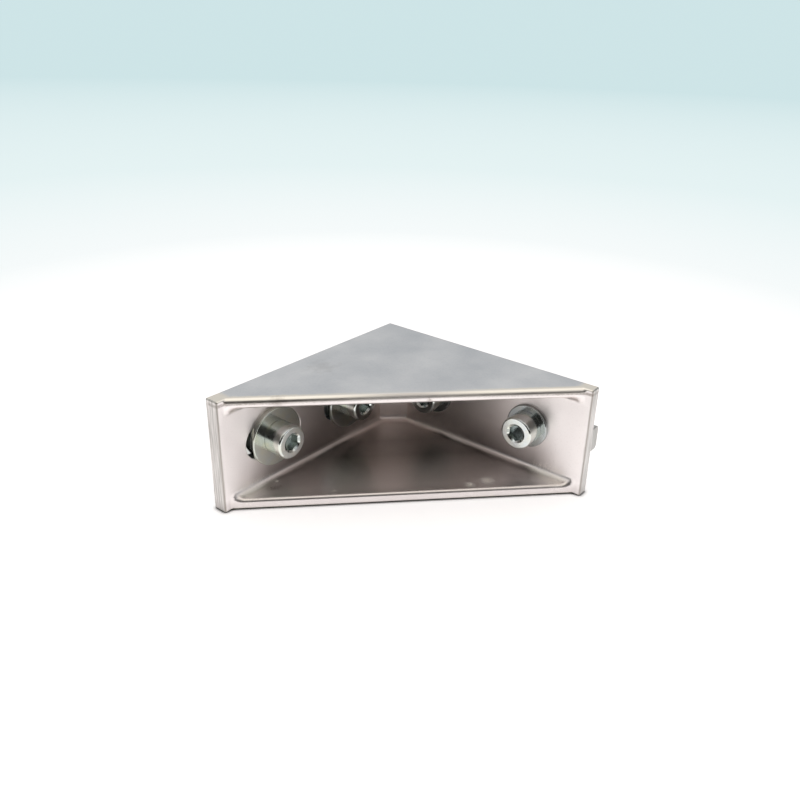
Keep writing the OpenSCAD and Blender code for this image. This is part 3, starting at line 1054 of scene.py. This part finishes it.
def flat_washer(name, size):
    """A punched washer: its upper edge is rolled over, its lower edge nearly sharp."""
    diameter, thickness = size
    washer = turned_bar(name, diameter / 2, 0, thickness, FINE_SIDES)
    hole = turned_bar("hole", WASHER_HOLE_D / 2, -BEYOND, thickness + BEYOND, FINE_SIDES)
    combine(washer, hole, "DIFFERENCE")

    def on_rim(edge, height):
        """True for the washer's round edges at a height."""
        ends = [vertex.co.xy.length for vertex in edge.verts]
        return abs(middle(edge).z - height) < NEAR and abs(ends[0] - ends[1]) < NEAR

    round_edges(washer, lambda edge: on_rim(edge, thickness), WASHER_UPPER_ROUND, SOFT_STEPS)
    round_edges(washer, lambda edge: on_rim(edge, 0), WASHER_LOWER_ROUND, SHARP_STEPS)
    return washer


def swing_block(name, width, length, bottom, top):
    """A block with two opposite corners turned round."""
    swinging = block(name, width, length, bottom, top)
    round_edges(swinging, lambda edge: is_upright(edge) and middle(edge).x * middle(edge).y > 0,
                width / 2 - NUT_FLAT, NUT_CORNER_STEPS)
    return swinging


def slot_nut():
    """The nut: a swinging body with its top at height zero, a collar on it and a plain hole for the screw."""
    nut = swing_block("nut", NUT_WIDTH, NUT_LENGTH, -NUT_BODY_T, 0)
    round_edges(nut, is_level, NUT_ROUND, SMALL_STEPS)
    collar = swing_block("collar", NUT_COLLAR_W, NUT_COLLAR_W, -COLLAR_ROOT, NUT_COLLAR_T)
    round_edges(collar, lambda edge: middle(edge).z > NUT_COLLAR_T - NEAR, NUT_ROUND, SMALL_STEPS)
    combine(nut, collar, "UNION")
    hole = turned_bar("hole", NUT_HOLE_D / 2, -NUT_BODY_T - BEYOND, NUT_COLLAR_T + BEYOND)
    combine(nut, hole, "DIFFERENCE")

    def on_mouth(edge, height):
        """True for the hole's round edge at a height."""
        at_hole = abs(middle(edge).xy.length - NUT_HOLE_D / 2) < ROUND_SLACK
        return at_hole and abs(middle(edge).z - height) < NEAR

    for mouth in (-NUT_BODY_T, NUT_COLLAR_T):
        round_edges(nut, lambda edge: on_mouth(edge, mouth), NUT_HOLE_CHAMFER, CHAMFER_STEPS)
    move_piece(nut, Matrix.Rotation(math.radians(90 + NUT_TURN), 4, "Z"))
    return nut


# Finishes, and every piece in its place

cast = cast_metal()
screw_zinc = zinc("zinc_screw", SCREW_ZINC)
wide_washer_zinc = zinc("zinc_wide_washer", WIDE_WASHER_ZINC)
shaded_plain_washer_zinc = zinc("zinc_plain_washer", SHADED_PLAIN_WASHER_ZINC)
shaded_nut_zinc = zinc("zinc_nut", SHADED_NUT_ZINC)

finish_piece(body, "bracket_body", cast)
screw_shape = socket_screw()
nut_shape = slot_nut()
for leg, place_on, screw_places, size, washer_zinc, nut_top in (
        ("slot_leg", on_slot_leg, (OUTER_SCREW_AT, SLOT_INNER_SCREW_AT), WIDE_WASHER, wide_washer_zinc,
         -SLOT_LEG_THICKNESS),
        ("lug_leg", on_lug_leg, (OUTER_SCREW_AT, LUG_INNER_SCREW_AT), PLAIN_WASHER, shaded_plain_washer_zinc,
         -LUG_LEG_THICKNESS - NUT_COLLAR_T)):
    washer_shape = flat_washer("washer", size)
    for where, at in zip(("outer", "inner"), screw_places):
        stem = f"{leg}_{where}"
        screw = copy_of(screw_shape, f"{stem}_socket_screw")
        move_piece(screw, place_on(at, size[1]))
        finish_piece(screw, f"{stem}_screw", screw_zinc)
        washer = copy_of(washer_shape, f"{stem}_flat_washer")
        move_piece(washer, place_on(at, 0))
        finish_piece(washer, f"{stem}_washer", washer_zinc)
        nut = copy_of(nut_shape, f"{stem}_slot_nut")
        move_piece(nut, place_on(at, nut_top))
        finish_piece(nut, f"{stem}_nut", shaded_nut_zinc)
    bpy.data.objects.remove(washer_shape)
bpy.data.objects.remove(screw_shape)
bpy.data.objects.remove(nut_shape)

# Camera, its angles in degrees, its place in millimetres and the rest in pixels
IMAGE_SIZE = 800
CAMERA_FOCUS = 763.0
CAMERA_TURN = math.radians(127.52)
CAMERA_RISE = math.radians(23.85)
CAMERA_ROLL = math.radians(1.66)
CAMERA_PLACE = Vector((243.74, 199.96, 162.81)) * MILLIMETRE
IMAGE_CENTRE = (411.8, 367.9)
SENSOR_WIDTH = 36
NEAREST_SEEN = 0.01

# Room round the part: colours, and where they change by height and by how far to the front
TOWARDS_CAMERA = (0.79, 0.61, 0)
LOW_WALLS = (0.38, 0.41, 0.43, 1)
HIGH_WALLS = (0.60, 0.63, 0.65, 1)
WALLS_RISE = (0.2, 0.55)
BRIGHT_SIDES = (1.0, 0.98, 0.97, 1)
SIDES_FRONT = (-0.35, 0.0)
SIDES_RISE = (0.25, 0.45)
BRIGHT_ABOVE = (1.0, 0.97, 0.90, 1)
ABOVE_RISE = (0.6, 0.85)
DIM_FRONT = (0.04, 0.037, 0.035, 1)
AHEAD_FRONT = (0.75, 0.9)
AHEAD_RISE = (0.65, 0.8)
LOW_FRONT = (-0.1, 0.3)
LOW_RISE = (0.25, 0.4)
FAR_TONE = (0.62, 0.78, 0.80, 1)

# Floor, its distances in metres
FLOOR_SIZE = 8.0
FLOOR_TONE = (0.88, 0.87, 0.88, 1)
# Painted contact shadow: the floor's colour where the part sits close
PAINTED_CONTACT_SHADOW = (0.10, 0.095, 0.09, 1)
CONTACT_REACH = 0.0016
CONTACT_SAMPLES = 8
CONTACT_OPEN = (0.4, 0.95)
LIFT_TONE = (1, 0.99, 1, 1)
CAMERA_LIFT = 0.45
GLOSS_LIFT = 0.7
WHITE = (1, 1, 1, 1)
PALE_BLUE = (0.79, 0.895, 0.90, 1)
PALE_BLUE_REACH = (0.15, 0.7)
FAR_REACH = (0.7, 2.5)
AWAY_REACH = (0.15, 0.35)

# Dark card and lamp, in metres
CARD_DISTANCE = 0.3
CARD_WIDTH = 0.9
CARD_HEIGHT = 0.08
CARD_TONE = (0.02, 0.018, 0.017, 1)
LAMP_POWER = 0.5
LAMP_SIZE = 0.8
LAMP_COLOUR = (1.0, 0.97, 0.91)
LAMP_PLACE = (0.05, 0.05, 0.7)


def set_camera():
    """Puts the camera where the photograph was taken from."""
    back = Vector((math.sin(CAMERA_TURN) * math.cos(CAMERA_RISE),
                   -math.cos(CAMERA_TURN) * math.cos(CAMERA_RISE), math.sin(CAMERA_RISE)))
    level = (-back).cross(Vector((0, 0, 1))).normalized()
    upright = level.cross(-back)
    right = math.cos(CAMERA_ROLL) * level + math.sin(CAMERA_ROLL) * upright
    up = math.cos(CAMERA_ROLL) * upright - math.sin(CAMERA_ROLL) * level
    turn = Matrix((right, up, back)).transposed().to_4x4()
    lens = bpy.data.cameras.new("camera")
    lens.sensor_width = SENSOR_WIDTH
    lens.lens = CAMERA_FOCUS / IMAGE_SIZE * SENSOR_WIDTH
    lens.shift_x = 0.5 - IMAGE_CENTRE[0] / IMAGE_SIZE
    lens.shift_y = IMAGE_CENTRE[1] / IMAGE_SIZE - 0.5
    lens.clip_start = NEAREST_SEEN
    camera = bpy.data.objects.new("camera", lens)
    camera.matrix_world = Matrix.Translation(CAMERA_PLACE) @ turn
    bpy.context.scene.collection.objects.link(camera)
    bpy.context.scene.camera = camera


def set_studio():
    """A soft room: bright above and beside, grey behind, dark at the front, and pale to the camera."""
    world = bpy.data.worlds.new("studio")
    bpy.context.scene.world = world
    world.use_nodes = True
    tree = world.node_tree
    tree.nodes.clear()
    way = add(tree, "ShaderNodeTexCoord").outputs["Generated"]
    rise = parts_of(tree, way)[2]
    level = maths(tree, "POWER", rest_of(tree, maths(tree, "MULTIPLY", rise, rise)), 0.5)
    front = maths(tree, "DIVIDE", distance_along(tree, way, TOWARDS_CAMERA), level)
    walls = mix_colour(tree, ramp(tree, rise, WALLS_RISE), LOW_WALLS, HIGH_WALLS)
    beside = all_of(tree, ramp(tree, front, SIDES_FRONT), ramp(tree, rise, SIDES_RISE))
    walls = mix_colour(tree, beside, walls, BRIGHT_SIDES)
    sky = mix_colour(tree, ramp(tree, rise, ABOVE_RISE), walls, BRIGHT_ABOVE)
    ahead = all_of(tree, ramp(tree, front, AHEAD_FRONT), ramp(tree, rise, AHEAD_RISE, FALLING))
    low_down = all_of(tree, ramp(tree, front, LOW_FRONT), ramp(tree, rise, LOW_RISE, FALLING))
    sky = mix_colour(tree, maths(tree, "MAXIMUM", ahead, low_down), sky, DIM_FRONT)
    seen = add(tree, "ShaderNodeLightPath").outputs["Is Camera Ray"]
    sky = mix_colour(tree, seen, sky, FAR_TONE)
    glow = add(tree, "ShaderNodeBackground", {"Color": sky, "Strength": 1.0})
    add(tree, "ShaderNodeOutputWorld", {"Surface": glow.outputs["Background"]})


def set_floor():
    """A plain pale floor, lifted to white for the camera and for reflections, with the shadow kept and a
    contact shadow painted into its colour next to the part.
    """
    deselect_everything()
    bpy.ops.mesh.primitive_plane_add(size=FLOOR_SIZE, location=(0, 0, 0))
    floor = named("floor")
    material = bpy.data.materials.new("pale_floor")
    material.use_nodes = True
    tree = material.node_tree
    tree.nodes.clear()
    # Painted contact shadow: the floor darkens in colour where ambient occlusion finds the part close
    contact = add(tree, "ShaderNodeAmbientOcclusion", {"Distance": CONTACT_REACH}, samples=CONTACT_SAMPLES)
    open_sky = ramp(tree, contact.outputs["AO"], CONTACT_OPEN)
    paint = add(tree, "ShaderNodeBsdfDiffuse", {"Color": mix_colour(tree, open_sky, PAINTED_CONTACT_SHADOW, FLOOR_TONE)})
    path = add(tree, "ShaderNodeLightPath")
    lift = maths(tree, "ADD", maths(tree, "MULTIPLY", path.outputs["Is Camera Ray"], CAMERA_LIFT),
                 maths(tree, "MULTIPLY", path.outputs["Is Glossy Ray"], GLOSS_LIFT))
    lift = maths(tree, "MULTIPLY", lift, open_sky)
    glow = add(tree, "ShaderNodeEmission", {"Color": LIFT_TONE, "Strength": lift})
    near = add(tree, "ShaderNodeAddShader", {0: paint.outputs["BSDF"], 1: glow.outputs["Emission"]})
    place = add(tree, "ShaderNodeTexCoord").outputs["Object"]
    reach = add(tree, "ShaderNodeVectorMath", {0: place}, operation="LENGTH").outputs["Value"]
    pale = mix_colour(tree, ramp(tree, reach, PALE_BLUE_REACH), WHITE, PALE_BLUE)
    pale = mix_colour(tree, ramp(tree, reach, FAR_REACH), pale, FAR_TONE)
    far = add(tree, "ShaderNodeEmission", {"Color": pale, "Strength": 1.0})
    away = maths(tree, "MULTIPLY", path.outputs["Is Camera Ray"], ramp(tree, reach, AWAY_REACH))
    both = add(tree, "ShaderNodeMixShader", {0: away, 1: near.outputs["Shader"], 2: far.outputs["Emission"]})
    add(tree, "ShaderNodeOutputMaterial", {"Surface": both.outputs["Shader"]})
    floor.data.materials.append(material)


def set_dark_card():
    """A dark card that stands in front and shows in reflections only, as the dim side of the room."""
    deselect_everything()
    bpy.ops.mesh.primitive_plane_add(size=1, location=(0, 0, 0))
    card = named("dark_card")
    upright = Matrix.Rotation(math.radians(90), 4, "X") @ Matrix.Diagonal((CARD_WIDTH, CARD_HEIGHT, 1, 1))
    across = math.atan2(TOWARDS_CAMERA[1], TOWARDS_CAMERA[0]) + math.radians(90)
    middle_of_card = Vector(TOWARDS_CAMERA) * CARD_DISTANCE + Vector((0, 0, CARD_HEIGHT / 2))
    move_piece(card, Matrix.Translation(middle_of_card) @ Matrix.Rotation(across, 4, "Z") @ upright)
    material = bpy.data.materials.new("dark_card")
    material.use_nodes = True
    shader = material.node_tree.nodes["Principled BSDF"]
    shader.inputs["Base Color"].default_value = CARD_TONE
    shader.inputs["Roughness"].default_value = 1.0
    card.data.materials.append(material)
    card.visible_camera = False
    card.visible_diffuse = False
    card.visible_shadow = False


def set_lamp():
    """One large soft lamp overhead."""
    soft_box = bpy.data.lights.new("soft_box", "AREA")
    soft_box.energy = LAMP_POWER
    soft_box.size = LAMP_SIZE
    soft_box.color = LAMP_COLOUR
    lamp = bpy.data.objects.new("soft_box", soft_box)
    lamp.location = LAMP_PLACE
    bpy.context.scene.collection.objects.link(lamp)


set_camera()
set_studio()
set_floor()
set_dark_card()
set_lamp()
bpy.context.scene.view_settings.view_transform = "Standard"
